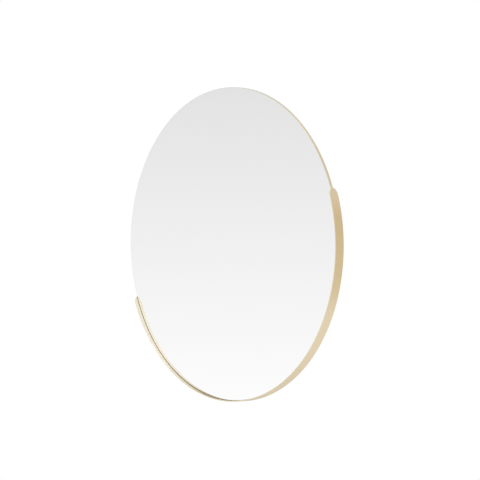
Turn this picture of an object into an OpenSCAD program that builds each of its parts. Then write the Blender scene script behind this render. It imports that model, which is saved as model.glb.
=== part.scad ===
// Pivot wall mirror: a round mirror disc that tilts between the ends of a flat half hoop.
// A bar behind the disc joins the hoop's ends and turns on a sleeve that stands off the wall.
// Millimetres, +Z up, the glass faces -Y. The origin is the centre of the wall plate's back face.

/* [Mirror disc] */
// Diameter of the mirror disc over its rim
disc_d = 600; // [400:10:900]
// Thickness of the mirror glass
glass_t = 4; // [2:0.5:5]
// Gap between the edge of the glass and the rim
glass_gap = 0.2; // [0.1:0.1:1]
// Chamfer on the edges of the glass
glass_arris = 0.4; // [0.2:0.1:0.6]
// Thickness of the foam tape between the rim's flange and the glass
tape_t = 1.8; // [0.8:0.1:3]
// Sheet thickness of the rim
rim_t = 0.6; // [0.5:0.1:1.2]
// Width of the rim's rear flange
flange_w = 13; // [11:1:20]
// Sheet thickness of the back plate
plate_t = 0.8; // [0.6:0.1:1.5]
// How far the back plate's edge stays inside the rim
plate_inset = 4; // [2:0.5:6]
// Height of the stiffening beads pressed in the back plate
bead_h = 1.6; // [1:0.1:2.5]
// How far the outer bead lies inside the rim
bead_inset = 65; // [45:5:90]
// Radius of the inner bead
inner_bead_r = 90; // [60:5:110]
// Number of rivets round the back plate
rivet_count = 12; // [8:4:24]
// Height of the rubber domes that meet the wall when the mirror is pushed too far
bumper_h = 3; // [1:0.5:4]

/* [Half hoop] */
// Turn of the hoop's diameter from level, right end up
hoop_angle = 21; // [-90:1:90]
// Width of the hoop's strip, front to back
hoop_w = 20.5; // [17:0.5:40]
// Thickness of the hoop's strip
hoop_t = 1.6; // [1.2:0.1:3]
// How far the hoop stands in front of the glass
hoop_lip = 7.8; // [2:0.1:10]
// Gap between the disc's rim and the hoop
hoop_gap = 0.6; // [0.4:0.1:2]
// Radius of the nose at each end of the strip
end_r = 8; // [3:0.5:8]
// Length of the rounded end over half the strip's width, which gives the nose its long arcs
end_stretch = 4.75; // [1:0.25:12]
// Rounding of the strip's long edges
hoop_edge_r = 0.4; // [0.2:0.1:0.5]

/* [Tilt pivots] */
// Furthest tilt each way, in degrees
tilt_max = 12; // [5:1:15]
// Distance of the tilt axis below the hoop's ends
pivot_inset = 14; // [12:1:18]
// Diameter of the pivot pins
pin_d = 4; // [3:0.5:5]
// Wall of the plastic bushes on the pins
bush_wall = 0.65; // [0.5:0.05:1]
// Wall of the pillow blocks round the bushes
block_wall = 1; // [0.8:0.1:2]
// Length of a pillow block along its pin
block_len = 16; // [12:1:24]
// Distance from the tilt axis to each stud of a pillow block
stud_reach = 14.5; // [14:0.5:20]
// Thickness of a pillow block's foot
foot_t = 2; // [1.5:0.5:3]
// Height of an end bracket along the hoop
bracket_h = 20; // [18:1:24]
// Depth of an end bracket, measured in from the disc's radius
bracket_w = 18; // [16:1:26]
// Thickness of the flange of a bush
bush_flange_t = 1; // [0.5:0.1:2]
// Thickness of the friction washers on the pins
washer_t = 0.8; // [0.5:0.1:2]

/* [Cross bar and hub] */
// Height of the cross bar
bar_h = 20; // [18:1:24]
// Thickness of the cross bar
bar_t = 5; // [4.5:0.5:8]
// How far the bar's ends stay inside the disc's radius
bar_inset = 8; // [6:1:10]
// Diameter of the round hub on the bar
hub_d = 42; // [36:1:60]
// Length of the flared part on each side of the hub
flare_len = 75; // [50:5:120]
// Diameter of the hub bolt
bolt_d = 8; // [6:1:8]
// Thickness of the friction disc behind the hub
friction_t = 1.5; // [1:0.25:3]
// Gap between the friction disc and the stop pin
friction_margin = 2; // [1:0.25:3]
// Diameter of the stop pin
stop_d = 3; // [2:0.5:3.5]
// Angle through which the yoke can turn
turn_range = 180; // [90:10:270]

/* [Wall fixing] */
// Gap left between the rim and the wall at full tilt
wall_gap = 4.5; // [3:0.5:20]
// Wall thickness of the stand-off sleeve
sleeve_wall = 2.5; // [2:0.25:4]
// Thickness of the sleeve's front wall
sleeve_front_t = 5; // [4:0.5:8]
// Diameter of the wall plate
wall_plate_d = 100; // [94:2:140]
// Thickness of the wall plate
wall_plate_t = 4; // [3.5:0.5:6]
// Length of the boss in front of the wall plate
boss_len = 20; // [18:1:24]
// Diameter of the circle through the four screw holes
screw_circle_d = 74; // [68:1:78]
// Diameter of the screw holes
screw_hole_d = 5.5; // [4:0.5:6]
// Diameter of the screw heads that the countersinks take
screw_head_d = 10; // [8:0.5:11]
// Diameter of the grub screws
grub_d = 5; // [4:1:6]
// Diameter of the wall rosette
rosette_d = 114; // [108:2:160]
// Height of the wall rosette
rosette_h = 14; // [12:1:18]
// Sheet thickness of the wall rosette
rosette_t = 1.2; // [0.8:0.1:2]
// Radius of the rosette's rounded shoulder
rosette_shoulder_r = 5; // [3:0.5:6]

/* [Hidden] */

$fn = 64;
// Facets round the disc and the hoop
large_fn = 360;
// Overshoot of the shapes that cut
cut = 1;

// Clearances
// Round pieces that run in or on each other
run_gap = 0.05;
// Pieces of one body that are pressed or glued together
seat_gap = 0.05;
// Pieces that pass each other as the mirror moves
pass_gap = 0.4;
// Flat faces along a pin
face_gap = 0.1;
// Screw shank in its clearance hole
screw_gap = 0.2;

// Shape of the hexagon nuts and sockets
// Diameter of the locking collar, as a share of the width over flats
collar_share = 0.86;
// Height of the hexagon, as a share of the nut's height
hex_share = 0.75;
// Depth of a socket, as a share of the screw head's height
socket_share = 0.85;

// Hardware
// Lengths of thread that stand proud of their nuts
stud_end = 1;
thread_end = 1.5;
// M3 nut and thread at the end of each pin, over flats and height
pin_thread_d = 3;
pin_nut_af = 5.5;
pin_nut_h = 4;
// M4 nuts and screws at the blocks and brackets
m4_d = 4;
m4_nut_af = 7;
m4_nut_h = 3.2;
m4_head_d = 8;
m4_key = 2.5;
m4_tip_gap = 0.25;
screw_spread = 5.5;
screw_inset = 5;
// Hub bolt
bolt_key = 5;
bolt_nut_af_ratio = 1.625;
bolt_rim = 0.4;
belleville_h = 1.8;
belleville_t = 0.9;
thrust_t = 1;

// Disc, measured from its front face at depth zero backwards
disc_r = disc_d / 2;
rim_depth = glass_t + tape_t + rim_t;
plate_depth = rim_depth + plate_t;
glass_r = disc_r - rim_t - glass_gap;
plate_r = disc_r - plate_inset;
bead_radii = [inner_bead_r, disc_r - bead_inset];
rivet_inset = 5;
rivet_r = disc_r - flange_w + rivet_inset;
rivet_d = 3;
rivet_head_d = 5.6;
rivet_head_h = 1;
rim_fold_r = 1;
tape_edge = 1;
pad_count = 8;
pad_w = 25;
pad_start_r = 55;
pad_end_inset = 80;
bumper_d = 12;
bumper_inset = 16;
bumper_angles = [60, 120, 240, 300];

// Tilt pivots
bush_r = pin_d / 2 + bush_wall;
block_r = bush_r + block_wall;
bracket_boss_r = block_r - pass_gap;
axis_depth = plate_depth + block_r;
block_end = disc_r - bracket_w - bush_flange_t - face_gap;
block_start = block_end - block_len;
washer_end = block_start - face_gap;
washer_start = washer_end - washer_t;
shoulder_end = washer_start + washer_t / 2;
spring_h = 1;
spring_t = 0.6;
spring_start = washer_start - spring_h;
pin_nut_start = spring_start - pin_nut_h;
pin_tip = pin_nut_start - thread_end;
// A bracket stops short of the strip, out of sight, but for a pad at the pin
bracket_step = 3;
bracket_pad = 10;
pin_root_cover = 0.5;
pin_root_inset = bracket_step + pin_root_cover;
washer_r = block_r - face_gap;
block_h = 2 * block_r;
fillet_r = 3;
foot_margin = 6;
foot_h = 2 * (stud_reach + foot_margin);
foot_corner_r = 3;
stud_len = foot_t + m4_nut_h + stud_end;

// The rim's rear corner clears the wall at full tilt, and that sets how far the axis stands off
rim_reach = disc_r + pivot_inset;
rim_lead = axis_depth - rim_depth;
axis_z = wall_gap + rim_reach * sin(tilt_max) - rim_lead * cos(tilt_max);
face_z = axis_z + axis_depth;
rim_z = face_z - rim_depth;
plate_z = face_z - plate_depth;

// Half hoop
hoop_r = disc_r + hoop_gap;
hoop_back_z = face_z + hoop_lip - hoop_w;

// End of the strip, from its tip and its front edge: a round nose, and a long arc from the nose to each edge
nose_y = hoop_w / 2;
arc_start = nose_y + end_stretch;
// Depth to which the arcs dip into the nose, so that they cross it and don't just touch it
arc_dip = 0.01;
touch_r = end_r - arc_dip;
arc_r = (pow(arc_start - end_r, 2) + pow(nose_y, 2) - pow(touch_r, 2)) / (2 * (nose_y - touch_r));

// The bar lies behind the blocks, behind the disc's swing past the hub, and behind the hoop's edge
hub_r = hub_d / 2;
hub_swing = (pivot_inset + hub_r) * sin(tilt_max) - block_r * cos(tilt_max);
bar_drop = max(block_r, hub_swing, axis_z - hoop_back_z - pass_gap) + pass_gap;
bar_front_z = axis_z - bar_drop;
bar_z = bar_front_z - bar_t;
bar_end = disc_r - bar_inset;
bar_corner_r = 3;
bracket_swing = bracket_h / 2 * sin(tilt_max) - block_r * cos(tilt_max);
bracket_front_z = axis_z - bracket_swing - pass_gap;
bracket_in = disc_r - bracket_w;
bracket_corner_r = 3;
screw_x = bar_end - screw_inset;

// Hub
sleeve_r = hub_r;
sleeve_in_r = sleeve_r - sleeve_wall;
sleeve_z = bar_z - friction_t;
sleeve_inner_z = sleeve_z - sleeve_front_t;
belleville_z = sleeve_inner_z - thrust_t;
bolt_nut_h = bolt_d;
hub_nut_z = belleville_z - belleville_h - bolt_nut_h;
bolt_tip_z = hub_nut_z - thread_end;
stop_track_r = sleeve_in_r - stop_d / 2 - pass_gap;
stop_depth = 4;
// Metal left in the bar over the blind end of the stop pin
stop_cover = 1;
friction_r = stop_track_r - stop_d / 2 - friction_margin;

// Wall fixing
boss_r = sleeve_in_r - run_gap * 2;
boss_wall = 6;
boss_bore_r = boss_r - boss_wall;
boss_z = wall_plate_t + boss_len;
groove_depth = 1.4;
groove_play = 1;
groove_r = boss_r - groove_depth;
grub_inset = 7;
grub_z = boss_z - grub_inset;
grub_spread = 35;
grip_t = 3;
grip_h = 4;
rosette_gap = 0.8;
wall_screw_count = 4;

brass = "#d9c28a";
black = "#26272a";
steel = "#b9bcc0";
rubber = "#1d1d1e";
foam = "#e6e4dc";
nylon = "#f2efe6";
fibre = "#6b4a3a";
silver = "#dfe5ea";

// ---- Frames ----

// Wall frame: x to the right, y up, z out from the wall
module in_wall() {
    rotate([90, 0, 0]) children();
}

// Yoke frame: the wall frame turned so that the hoop's ends lie on the x axis
module in_yoke() {
    in_wall() rotate([0, 0, hoop_angle]) children();
}

// Right side as drawn, left side mirrored
module on_side(side) {
    mirror([side < 0 ? 1 : 0, 0, 0]) children();
}

// From x on the tilt axis, with z of the children running outwards along it
module on_pin(x) {
    translate([x, -pivot_inset, axis_z]) rotate([0, 90, 0]) children();
}

// Both ends of the tilt axis
module at_both_ends() {
    for (side = [-1, 1]) on_side(side) children();
}

// ---- Repeated shapes ----

module tube(r_out, r_in, h) {
    difference() {
        cylinder(h = h, r = r_out);
        translate([0, 0, -cut]) cylinder(h = h + 2 * cut, r = r_in);
    }
}

// Rectangle with round corners, centred on its middle
module soft_rect(w, h, r) {
    square([w - 2 * r, h], center = true);
    square([w, h - 2 * r], center = true);
    for (x = [-1, 1], y = [-1, 1]) {
        translate([x * (w / 2 - r), y * (h / 2 - r)]) circle(r = r);
    }
}

// Countersunk screw with a hexagon socket, head at z = 0, shank down to -length
module csk_screw(r, head_r, length, key) {
    difference() {
        union() {
            translate([0, 0, -length]) cylinder(h = length, r = r);
            translate([0, 0, r - head_r]) cylinder(h = head_r - r, r1 = r, r2 = head_r);
        }
        translate([0, 0, (r - head_r) * socket_share]) cylinder(h = head_r, d = key / cos(30), $fn = 6);
    }
}

// Hole for that screw, through a plate of thickness t below z = 0
module csk_hole(r, head_r, t, gap) {
    translate([0, 0, -t - cut]) cylinder(h = t + 2 * cut, r = r + gap);
    translate([0, 0, r - head_r]) cylinder(h = head_r - r, r1 = r + gap, r2 = head_r + gap);
    cylinder(h = cut, r = head_r + gap);
}

// Hexagon nut on z = 0 with chamfered corners and a rounded locking collar on top
module lock_nut(r, af, h) {
    corner = af / 2 / cos(30);
    drop = (corner - af / 2) * tan(30);
    hex_h = h * hex_share;
    difference() {
        union() {
            intersection() {
                cylinder(h = hex_h, r = corner, $fn = 6);
                rotate_extrude() polygon([
                    [0, 0], [af / 2, 0], [corner, drop], [corner, hex_h - drop], [af / 2, hex_h], [0, hex_h]
                ]);
            }
            cylinder(h = h, r = af / 2 * collar_share);
        }
        translate([0, 0, -cut]) cylinder(h = h + 2 * cut, r = r + seat_gap);
    }
}

// Spring washer: a shallow cone of sheet t, h high over all, wide end on z = 0
module cone_washer(r_out, r_in, h, t) {
    rotate_extrude() polygon([[r_in, h - t], [r_out, 0], [r_out, t], [r_in, h]]);
}

// ---- Mirror disc, which tilts ----

module mirror_glass() {
    color(silver) in_yoke() translate([0, 0, face_z - glass_t]) rotate_extrude($fn = large_fn) polygon([
        [0, 0], [glass_r - glass_arris, 0], [glass_r, glass_arris],
        [glass_r, glass_t - glass_arris], [glass_r - glass_arris, glass_t], [0, glass_t]
    ]);
}

// Section of the rim: a wall with a round front edge, a folded corner and a rear flange
module rim_section() {
    difference() {
        union() {
            translate([disc_r - rim_t, 0]) square([rim_t, rim_depth - rim_t / 2]);
            translate([disc_r - rim_t / 2, rim_depth - rim_t / 2]) circle(r = rim_t / 2);
            translate([disc_r - flange_w, 0]) square([flange_w, rim_t]);
        }
        difference() {
            translate([disc_r - rim_fold_r, -cut]) square([rim_fold_r + cut, rim_fold_r + cut]);
            translate([disc_r - rim_fold_r, rim_fold_r]) circle(r = rim_fold_r);
        }
    }
}

// Places the rivets, half a pitch off the pivots
module at_rivets() {
    pitch = 360 / rivet_count;
    for (i = [0 : rivet_count - 1]) {
        rotate([0, 0, (i + 0.5) * pitch]) translate([rivet_r, 0, 0]) children();
    }
}

module rim_ring() {
    color(brass) in_yoke() translate([0, 0, rim_z]) difference() {
        rotate_extrude($fn = large_fn) rim_section();
        at_rivets() translate([0, 0, -cut]) cylinder(h = rim_t + 2 * cut, d = rivet_d + 2 * seat_gap);
    }
}

// Section of the back plate with its two pressed beads, hollow in front and proud behind
module plate_section() {
    bead_out_r = bead_h + plate_t;
    difference() {
        union() {
            square([plate_r, plate_t]);
            for (r = bead_radii) intersection() {
                translate([r, plate_t]) circle(r = bead_out_r);
                translate([r - bead_out_r, -bead_out_r]) square([2 * bead_out_r, bead_out_r + plate_t]);
            }
        }
        for (r = bead_radii) translate([r, plate_t]) circle(r = bead_h);
    }
}

module back_plate() {
    color(black) in_yoke() translate([0, 0, plate_z]) {
        difference() {
            rotate_extrude($fn = large_fn) plate_section();
            at_rivets() translate([0, 0, -cut]) cylinder(h = plate_t + 2 * cut, d = rivet_d + 2 * seat_gap);
        }
        at_studs() translate([0, 0, -stud_len]) cylinder(h = stud_len + plate_t / 2, d = m4_d);
    }
}

// Places the four studs that hold the pillow blocks
module at_studs() {
    at_both_ends() for (y = [-1, 1]) {
        translate([block_start + block_len / 2, y * stud_reach - pivot_inset, 0]) children();
    }
}

module rim_rivets() {
    color(steel) in_yoke() at_rivets() {
        dome_r = (pow(rivet_head_d / 2, 2) + pow(rivet_head_h, 2)) / (2 * rivet_head_h);
        translate([0, 0, plate_z]) cylinder(h = plate_t + rim_t, d = rivet_d);
        intersection() {
            translate([0, 0, plate_z - rivet_head_h + dome_r]) sphere(r = dome_r);
            translate([0, 0, plate_z - rivet_head_h]) cylinder(h = rivet_head_h, d = rivet_head_d);
        }
    }
}

module glass_tape_ring() {
    color(foam) in_yoke() translate([0, 0, rim_z + rim_t]) {
        tube(disc_r - rim_t - tape_edge, disc_r - flange_w + tape_edge, tape_t, $fn = large_fn);
    }
}

module foam_pads() {
    color(foam) in_yoke() translate([0, 0, rim_z]) for (i = [0 : pad_count - 1]) {
        pad_len = disc_r - pad_start_r - pad_end_inset;
        rotate([0, 0, (i + 0.5) * 360 / pad_count]) translate([pad_start_r, -pad_w / 2, 0]) {
            cube([pad_len, pad_w, rim_t + tape_t]);
        }
    }
}

module wall_bumpers() {
    color(rubber) in_yoke() for (a = bumper_angles) {
        dome_r = (pow(bumper_d / 2, 2) + pow(bumper_h, 2)) / (2 * bumper_h);
        rotate([0, 0, a]) translate([disc_r - bumper_inset, 0, plate_z]) intersection() {
            translate([0, 0, dome_r - bumper_h]) sphere(r = dome_r);
            translate([0, 0, -bumper_h]) cylinder(h = bumper_h, d = bumper_d);
        }
    }
}

// Section of a pillow block across its pin: foot on the plate, filleted up to a round barrel
module block_section() {
    translate([0, block_r]) {
        circle(r = block_r);
        translate([-block_r, -block_r]) square([2 * block_r, block_r]);
    }
    translate([-foot_h / 2, 0]) square([foot_h, foot_t]);
    for (side = [-1, 1]) mirror([side < 0 ? 1 : 0, 0]) difference() {
        translate([block_r, foot_t]) square(fillet_r);
        translate([block_r + fillet_r, foot_t + fillet_r]) circle(r = fillet_r);
    }
}

module pivot_block(side) {
    color(steel) in_yoke() on_side(side) difference() {
        intersection() {
            translate([block_start, -pivot_inset, plate_z]) mirror([0, 0, 1]) rotate([90, 0, 90]) {
                linear_extrude(block_len) block_section();
            }
            translate([block_start + block_len / 2, -pivot_inset, plate_z - block_h - cut]) {
                linear_extrude(block_h + 2 * cut) soft_rect(block_len, foot_h, foot_corner_r);
            }
        }
        on_pin(block_start - cut) cylinder(h = block_len + 2 * cut, r = bush_r + seat_gap);
        for (y = [-1, 1]) {
            translate([block_start + block_len / 2, y * stud_reach - pivot_inset, plate_z - foot_t - cut]) {
                cylinder(h = foot_t + 2 * cut, d = m4_d + 2 * screw_gap);
            }
        }
    }
}

module pivot_block_left() {
    pivot_block(-1);
}

module pivot_block_right() {
    pivot_block(1);
}

module pivot_bushes() {
    color(nylon) in_yoke() at_both_ends() {
        on_pin(block_start) tube(bush_r, pin_d / 2 + run_gap, block_len);
        on_pin(block_end) tube(washer_r, pin_d / 2 + run_gap, bush_flange_t);
    }
}

module block_nuts() {
    color(steel) in_yoke() at_studs() translate([0, 0, plate_z - foot_t]) mirror([0, 0, 1]) {
        lock_nut(m4_d / 2, m4_nut_af, m4_nut_h);
    }
}

module friction_washers() {
    color(fibre) in_yoke() at_both_ends() on_pin(washer_start) tube(washer_r, pin_d / 2 + run_gap, washer_t);
}

// ---- Yoke, which turns on the sleeve ----

// Waste round the nose of the strip: x from its tip, y from its front edge
module end_waste() {
    lean = (arc_start - end_r) / (arc_r - nose_y);
    split_x = end_r - lean * (nose_y + cut);
    outside_x = min(split_x, 0) - cut;
    difference() {
        polygon([
            [split_x, -cut], [outside_x, -cut], [outside_x, hoop_w + cut], [split_x, hoop_w + cut],
            [end_r, nose_y]
        ]);
        translate([end_r, nose_y]) circle(r = end_r);
    }
    for (side = [0, 1]) translate([0, side * hoop_w]) mirror([0, side]) difference() {
        polygon([[arc_start, -cut], [split_x, -cut], [end_r, nose_y], [arc_start, nose_y]]);
        translate([arc_start, arc_r]) circle(r = arc_r, $fn = large_fn);
    }
}

module half_hoop() {
    reach = hoop_w + hoop_gap + hoop_t + cut;
    color(brass) in_yoke() difference() {
        translate([0, 0, hoop_back_z]) rotate([0, 0, 180]) {
            rotate_extrude(angle = 180, $fn = large_fn) {
                translate([hoop_r + hoop_t / 2, hoop_w / 2]) soft_rect(hoop_t, hoop_w, hoop_edge_r);
            }
        }
        at_both_ends() translate([disc_r - hoop_w, 0, hoop_back_z + hoop_w]) {
            rotate([-90, 0, -90]) linear_extrude(reach) end_waste();
        }
    }
}

module end_bracket(side) {
    body_d = bracket_front_z - bar_front_z;
    x_mid = bracket_in + bracket_w;
    color(steel) in_yoke() on_side(side) difference() {
        intersection() {
            union() {
                translate([x_mid, -pivot_inset, bar_front_z]) linear_extrude(body_d) {
                    soft_rect(2 * bracket_w, bracket_h, bracket_corner_r);
                }
                on_pin(bracket_in) cylinder(h = bracket_w + hoop_gap, r = bracket_boss_r);
            }
            union($fn = large_fn) {
                translate([0, 0, bar_front_z]) cylinder(h = hoop_w, r = disc_r - bracket_step);
                intersection() {
                    translate([0, 0, hoop_back_z]) cylinder(h = hoop_w, r = hoop_r - seat_gap);
                    translate([0, -pivot_inset - bracket_pad / 2, 0]) cube([hoop_r, bracket_pad, face_z]);
                }
            }
        }
        on_pin(bracket_in - cut) cylinder(h = bracket_w - pin_root_inset + cut, r = pin_d / 2 + seat_gap);
        at_bracket_screws() translate([0, 0, bar_front_z - cut]) {
            cylinder(h = body_d + 2 * cut, d = m4_d + 2 * seat_gap);
        }
    }
}

// Places the two screws of one end
module at_bracket_screws() {
    for (y = [-1, 1]) translate([screw_x, y * screw_spread - pivot_inset, 0]) children();
}

module end_bracket_left() {
    end_bracket(-1);
}

module end_bracket_right() {
    end_bracket(1);
}

module pivot_pin(side) {
    color(steel) in_yoke() on_side(side) {
        root = bracket_in + bracket_w - pin_root_inset;
        on_pin(shoulder_end) cylinder(h = root - shoulder_end, d = pin_d);
        on_pin(pin_tip) cylinder(h = shoulder_end - pin_tip, d = pin_thread_d);
    }
}

module pivot_pin_left() {
    pivot_pin(-1);
}

module pivot_pin_right() {
    pivot_pin(1);
}

module pivot_spring_washers() {
    color(steel) in_yoke() at_both_ends() on_pin(spring_start) {
        cone_washer(pin_nut_af / 2, pin_thread_d / 2 + seat_gap, spring_h, spring_t);
    }
}

module pivot_nuts() {
    color(steel) in_yoke() at_both_ends() on_pin(spring_start) mirror([0, 0, 1]) {
        lock_nut(pin_thread_d / 2, pin_nut_af, pin_nut_h);
    }
}

// Point where the flare's straight edge meets the hub's circle, from x on the bar's top edge
function flare_touch(x, y) =
    let (far = norm([x, y]), a = atan2(y, x) + acos(hub_r / far))
    [hub_r * cos(a), hub_r * sin(a)];

// Outline of the bar: a strip on the tilt axis, flared up to a round hub on the disc's centre
module bar_outline() {
    top_y = bar_h / 2 - pivot_inset;
    bottom_y = -bar_h / 2 - pivot_inset;
    touch = flare_touch(flare_len, top_y);
    translate([0, -pivot_inset]) soft_rect(2 * bar_end, bar_h, bar_corner_r);
    circle(r = hub_r);
    polygon([
        [-flare_len, bottom_y], [flare_len, bottom_y], [flare_len, top_y],
        touch, [-touch[0], touch[1]], [-flare_len, top_y]
    ]);
}

module cross_bar() {
    color(black) in_yoke() difference() {
        translate([0, 0, bar_z]) linear_extrude(bar_t) bar_outline();
        translate([0, 0, bar_front_z]) csk_hole(bolt_d / 2, bolt_d - bolt_rim, bar_t, seat_gap);
        translate([0, -stop_track_r, bar_z - cut]) {
            cylinder(h = cut + bar_t - stop_cover, d = stop_d + 2 * seat_gap);
        }
        at_both_ends() at_bracket_screws() translate([0, 0, bar_z]) mirror([0, 0, 1]) {
            csk_hole(m4_d / 2, m4_head_d / 2, bar_t, seat_gap);
        }
    }
}

module bracket_screws() {
    length = bar_t + bracket_front_z - bar_front_z - m4_tip_gap;
    color(steel) in_yoke() at_both_ends() at_bracket_screws() translate([0, 0, bar_z]) mirror([0, 0, 1]) {
        csk_screw(m4_d / 2, m4_head_d / 2, length, m4_key);
    }
}

module hub_bolt() {
    color(steel) in_yoke() translate([0, 0, bar_front_z]) {
        csk_screw(bolt_d / 2, bolt_d - bolt_rim, bar_front_z - bolt_tip_z, bolt_key);
    }
}

module hub_spring_washer() {
    color(steel) in_yoke() translate([0, 0, belleville_z - belleville_h]) {
        cone_washer(bolt_d, bolt_d / 2 + seat_gap, belleville_h, belleville_t);
    }
}

module hub_nut() {
    color(steel) in_yoke() translate([0, 0, belleville_z - belleville_h]) mirror([0, 0, 1]) {
        lock_nut(bolt_d / 2, bolt_d * bolt_nut_af_ratio, bolt_nut_h);
    }
}

module stop_pin() {
    color(steel) in_yoke() translate([0, -stop_track_r, sleeve_z - stop_depth]) {
        cylinder(h = stop_depth + friction_t + bar_t - stop_cover, d = stop_d);
    }
}

// ---- Wall side, which stays still ----

module friction_disc() {
    color(fibre) in_wall() translate([0, 0, sleeve_z]) tube(friction_r, bolt_d / 2 + run_gap, friction_t);
}

module thrust_washer() {
    color(nylon) in_wall() translate([0, 0, belleville_z]) tube(friction_r, bolt_d / 2 + run_gap, thrust_t);
}

// Slot that the stop pin runs in, lowest at its middle
module stop_slot() {
    slot_r = stop_d / 2 + pass_gap / 2;
    start = 270 - turn_range / 2;
    translate([0, 0, sleeve_inner_z - cut]) {
        rotate([0, 0, start]) rotate_extrude(angle = turn_range) {
            translate([stop_track_r - slot_r, 0]) square([2 * slot_r, sleeve_front_t + 2 * cut]);
        }
        for (a = [start, start + turn_range]) {
            rotate([0, 0, a]) translate([stop_track_r, 0, 0]) {
                cylinder(h = sleeve_front_t + 2 * cut, r = slot_r);
            }
        }
    }
}

// Places the grub screws, z outwards from the sleeve's axis, either side of straight down
module at_grubs() {
    for (side = [-1, 1]) {
        translate([0, 0, grub_z]) rotate([0, 0, side * grub_spread - 90]) rotate([0, 90, 0]) children();
    }
}

module standoff_sleeve() {
    color(brass) in_wall() difference() {
        translate([0, 0, wall_plate_t]) cylinder(h = sleeve_z - wall_plate_t, r = sleeve_r);
        translate([0, 0, wall_plate_t - cut]) {
            cylinder(h = sleeve_inner_z - wall_plate_t + cut, r = sleeve_in_r);
        }
        translate([0, 0, sleeve_inner_z - cut]) {
            cylinder(h = sleeve_front_t + 2 * cut, r = bolt_d / 2 + run_gap);
        }
        stop_slot();
        at_grubs() translate([0, 0, sleeve_in_r - cut]) {
            cylinder(h = sleeve_wall + 2 * cut, r = grub_d / 2 + seat_gap);
        }
    }
}

module grub_screws() {
    color(steel) in_wall() at_grubs() translate([0, 0, groove_r + seat_gap]) difference() {
        length = sleeve_r - groove_r - 2 * seat_gap;
        cylinder(h = length, d = grub_d);
        translate([0, 0, length / 2]) cylinder(h = length, d = grub_d / 2 / cos(30), $fn = 6);
    }
}

// Places the wall screws' holes, half a pitch off level
module at_wall_screws() {
    pitch = 360 / wall_screw_count;
    for (i = [0 : wall_screw_count - 1]) {
        rotate([0, 0, (i + 0.5) * pitch]) translate([screw_circle_d / 2, 0, wall_plate_t]) children();
    }
}

module wall_plate() {
    groove_h = grub_d + groove_play;
    color(steel) in_wall() difference() {
        union() {
            cylinder(h = wall_plate_t, d = wall_plate_d);
            cylinder(h = boss_z, r = boss_r);
        }
        translate([0, 0, wall_plate_t]) cylinder(h = boss_len + cut, r = boss_bore_r);
        translate([0, 0, grub_z - groove_h / 2]) tube(boss_r + cut, groove_r, groove_h);
        at_wall_screws() csk_hole(screw_hole_d / 2, screw_head_d / 2, wall_plate_t, 0);
    }
}

// Section of the rosette: a spun cap with a rounded shoulder and a hole for the sleeve
module cap_section(r, h, shoulder) {
    square([r - shoulder, h]);
    square([r, h - shoulder]);
    translate([r - shoulder, h - shoulder]) circle(r = shoulder);
}

module wall_rosette() {
    out_r = rosette_d / 2;
    color(brass) in_wall() rotate_extrude($fn = large_fn) difference() {
        cap_section(out_r, rosette_h, rosette_shoulder_r);
        translate([0, -cut]) {
            cap_section(out_r - rosette_t, rosette_h - rosette_t + cut, rosette_shoulder_r - rosette_t);
        }
        translate([0, -cut]) square([sleeve_r + rosette_gap, rosette_h + 2 * cut]);
    }
}

module rosette_grip_ring() {
    color(rubber) in_wall() translate([0, 0, rosette_h - rosette_t - grip_h]) {
        tube(sleeve_r + rosette_gap + grip_t, sleeve_r + seat_gap, grip_h);
    }
}

mirror_glass();
rim_ring();
back_plate();
rim_rivets();
glass_tape_ring();
foam_pads();
wall_bumpers();
pivot_block_left();
pivot_block_right();
pivot_bushes();
block_nuts();
friction_washers();
half_hoop();
end_bracket_left();
end_bracket_right();
pivot_pin_left();
pivot_pin_right();
pivot_spring_washers();
pivot_nuts();
cross_bar();
bracket_screws();
hub_bolt();
hub_spring_washer();
hub_nut();
stop_pin();
friction_disc();
thrust_washer();
standoff_sleeve();
grub_screws();
wall_plate();
wall_rosette();
rosette_grip_ring();
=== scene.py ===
# %% [markdown]
# # A pivot wall mirror, dressed in Blender
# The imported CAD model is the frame: it says where every part is and which body it rides on. This
# lesson puts the camera where the photograph's camera stood, mixes the finishes out of noise, and
# makes the parts one by one as a workshop would: sheet is cut and rolled, rings are turned, plates
# are pressed. A small white studio comes last.

# %% Tools and the frame
import math

import bmesh
import bpy
from mathutils import Matrix, Vector


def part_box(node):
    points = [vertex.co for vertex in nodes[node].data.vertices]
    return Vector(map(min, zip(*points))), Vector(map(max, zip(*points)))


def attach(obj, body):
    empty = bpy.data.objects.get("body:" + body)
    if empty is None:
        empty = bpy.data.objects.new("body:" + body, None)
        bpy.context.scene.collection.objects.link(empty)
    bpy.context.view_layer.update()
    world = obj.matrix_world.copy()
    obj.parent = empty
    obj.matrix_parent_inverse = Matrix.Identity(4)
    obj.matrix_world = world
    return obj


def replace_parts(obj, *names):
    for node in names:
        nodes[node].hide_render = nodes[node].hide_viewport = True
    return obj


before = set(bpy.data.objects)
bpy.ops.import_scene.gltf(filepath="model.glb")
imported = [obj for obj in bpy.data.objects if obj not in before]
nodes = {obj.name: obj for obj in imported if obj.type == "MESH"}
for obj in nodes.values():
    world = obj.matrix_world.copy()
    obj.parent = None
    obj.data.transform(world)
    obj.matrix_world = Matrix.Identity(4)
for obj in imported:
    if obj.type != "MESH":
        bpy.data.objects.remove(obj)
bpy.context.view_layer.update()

# %% [markdown]
# ## The drawing board
# The disc and the hoop are drawn in millimetres, with z out from the wall, because that is how a
# wall fitting is dimensioned. One matrix stands such a drawing up against the wall and turns it by
# the angle of the hoop, so that the hoop's two ends and both pivots lie on its x axis and can be
# drawn level. The main sizes are read from the frame.

# %% Drawing board
MM = 0.001
HOOP_ANGLE = math.radians(21)
STAND_UP = Matrix.Rotation(math.radians(90), 4, "X")
ON_YOKE = STAND_UP @ Matrix.Rotation(HOOP_ANGLE, 4, "Z") @ Matrix.Scale(MM, 4)


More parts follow.
